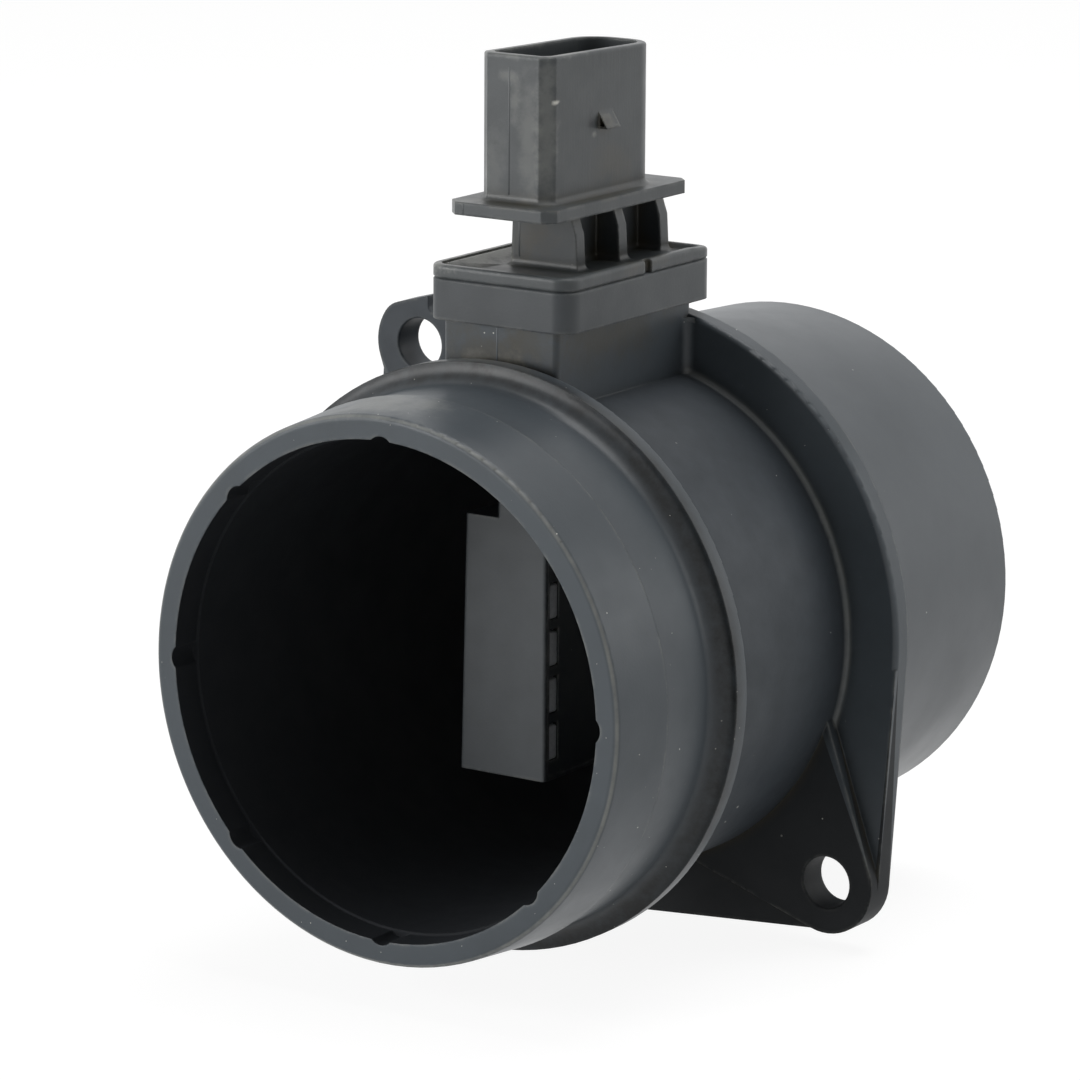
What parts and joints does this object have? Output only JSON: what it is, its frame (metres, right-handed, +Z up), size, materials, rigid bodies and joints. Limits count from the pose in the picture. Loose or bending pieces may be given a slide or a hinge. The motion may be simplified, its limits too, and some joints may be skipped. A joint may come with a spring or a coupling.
{
  "type": "mass airflow sensor",
  "caption": "Moulded air tube with a hose spigot, a two-eared flange and a plug-in sensor block with an upright connector shroud.",
  "frame": {"origin": "on the air tube's axis, in the rear face of the two-eared flange", "axes": "+Y along the tube from the flange towards the drum that enters the air box, +Z up through the sensor block and connector, +X to the right when looking in at the hose mouth"},
  "size_m": [0.094, 0.1098, 0.1342],
  "materials": {
    "housing_plastic": "matte glass-filled black plastic",
    "grid_plastic": "matte black plastic",
    "ring_steel": "drawn steel wire",
    "carrier_plastic": "matte glass-filled black plastic",
    "cover_plastic": "satin black plastic",
    "seal_rubber": "soft black rubber",
    "plain_aluminium": "plain rolled aluminium",
    "ceramic": "fired white ceramic",
    "film": "glassy thin film",
    "bead_resin": "dipped resin",
    "tinned_metal": "tin plated brass",
    "chip_resin": "moulded black resin",
    "capacitor": "fired brown ceramic"
  },
  "bodies": {
    "root": {"tube_housing": "housing_plastic", "flow_grid": "grid_plastic", "grid_retaining_ring": "ring_steel", "sensor_carrier": "carrier_plastic", "plug_seal": "seal_rubber", "bypass_side_cover": "carrier_plastic", "bypass_shield_strip": "plain_aluminium", "measuring_strip": "ceramic", "hot_film_element": "film", "air_temperature_bead": "bead_resin", "temperature_lead_front": "tinned_metal", "temperature_lead_rear": "tinned_metal", "cover_bond_ring": "seal_rubber", "heat_spreader": "plain_aluminium", "circuit_board": "ceramic", "signal_chip": "chip_resin", "power_chip": "chip_resin", "capacitor_1": "capacitor", "capacitor_2": "capacitor", "capacitor_3": "capacitor", "connector_cover": "cover_plastic", "terminal_1": "tinned_metal", "terminal_2": "tinned_metal", "terminal_3": "tinned_metal", "terminal_4": "tinned_metal", "terminal_5": "tinned_metal"}
  },
  "joints": []
}
